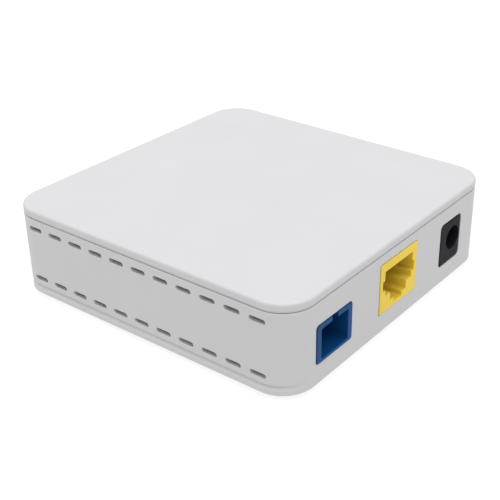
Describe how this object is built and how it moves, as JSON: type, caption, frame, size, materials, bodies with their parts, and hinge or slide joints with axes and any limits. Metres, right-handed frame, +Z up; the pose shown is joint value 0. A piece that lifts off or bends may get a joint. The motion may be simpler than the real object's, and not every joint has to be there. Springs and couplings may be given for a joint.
{
  "type": "optical network terminal",
  "caption": "Small square fibre modem in a white plastic casing, with a fibre socket, a network socket and a power inlet on one face, and slotted sides.",
  "frame": {"origin": "on the resting surface, in the middle of the object's outline", "axes": "+Z up; the port face looks along -Y; the slotted sides look along -X and +X; the lamps and the reset hole look along +Y"},
  "size_m": [0.082, 0.0822, 0.0232],
  "materials": {
    "casing": "fine satin texture, moulded",
    "feet": "matte",
    "label": "satin film, blank",
    "light_pipe": "clear polished plastic",
    "board": "solder mask, semi-gloss",
    "chips": "moulded epoxy, matte",
    "inductors": "ferrite, matte",
    "thermal_pad": "soft silicone, matte",
    "aluminium": "satin",
    "steel": "nickel plated, satin",
    "gold_contact": "gold plated, bright",
    "gold_can": "plated, bright",
    "lamp": "clear resin over phosphor",
    "black_plastic": "semi-gloss",
    "yellow_plastic": "semi-gloss",
    "blue_plastic": "semi-gloss",
    "ivory_plastic": "semi-gloss",
    "zirconia": "polished ceramic"
  },
  "bodies": {
    "unit": {"top_cover": "casing", "base_shell": "casing", "rubber_foot_1": "feet", "rubber_foot_2": "feet", "rubber_foot_3": "feet", "rubber_foot_4": "feet", "rating_label": "label", "light_pipe": "light_pipe", "main_board": "board", "main_chip": "chips", "memory_chip": "chips", "flash_chip": "chips", "laser_driver_chip": "chips", "power_converter_chip": "chips", "ethernet_transformer": "chips", "inductor_1": "inductors", "inductor_2": "inductors", "thermal_pad": "thermal_pad", "heatsink": "aluminium", "electrolytic_capacitor_1": "aluminium", "electrolytic_capacitor_2": "aluminium", "pcb_screw_1": "steel", "pcb_screw_2": "steel", "pcb_screw_3": "steel", "pcb_screw_4": "steel", "clock_crystal": "steel", "reset_switch_body": "steel", "bosa_body": "steel", "dc_jack_centre_pin": "steel", "dc_jack_spring_terminal": "steel", "laser_can": "gold_can", "photodiode_can": "gold_can", "status_led_1": "lamp", "status_led_2": "lamp", "status_led_3": "lamp", "status_led_4": "lamp", "dc_jack_housing": "black_plastic", "rj45_contact_carrier": "black_plastic", "rj45_housing": "yellow_plastic", "sc_receptacle_housing": "blue_plastic", "sc_sleeve_holder": "ivory_plastic", "ferrule_sleeve": "zirconia"},
    "reset_plunger": {"reset_switch_plunger": "black_plastic"},
    "rj45_contact_set": {"rj45_contact_1": "gold_contact", "rj45_contact_2": "gold_contact", "rj45_contact_3": "gold_contact", "rj45_contact_4": "gold_contact", "rj45_contact_5": "gold_contact", "rj45_contact_6": "gold_contact", "rj45_contact_7": "gold_contact", "rj45_contact_8": "gold_contact"},
    "dc_contact_leaf": {"dc_jack_spring_contact": "steel"},
    "sc_latch_left": {"sc_latch_arm_left": "ivory_plastic"},
    "sc_latch_right": {"sc_latch_arm_right": "ivory_plastic"}
  },
  "joints": [
    {"name": "reset_press", "type": "slide", "parent": "unit", "child": "reset_plunger", "axis": [0, -1, 0], "range_m": [0, 0.00025], "stiffness_N_per_m": 6000},
    {"name": "network_contacts_flex", "type": "hinge", "parent": "unit", "child": "rj45_contact_set", "pos_m": [-0.0007, -0.0377, 0.0167], "axis": [1, 0, 0], "range_deg": [0, 9], "stiffness_Nm_per_rad": 0.36},
    {"name": "power_leaf_flex", "type": "hinge", "parent": "unit", "child": "dc_contact_leaf", "pos_m": [0.02465, -0.0297, 0.00755], "axis": [1, 0, 0], "range_deg": [0, 2.5], "stiffness_Nm_per_rad": 0.7},
    {"name": "latch_left_flex", "type": "hinge", "parent": "unit", "child": "sc_latch_left", "pos_m": [-0.02955, -0.0293, 0.0106], "axis": [0, 0, -1], "range_deg": [0, 4], "stiffness_Nm_per_rad": 0.126},
    {"name": "latch_right_flex", "type": "hinge", "parent": "unit", "child": "sc_latch_right", "pos_m": [-0.02225, -0.0293, 0.0106], "axis": [0, 0, 1], "range_deg": [0, 4], "stiffness_Nm_per_rad": 0.126}
  ]
}
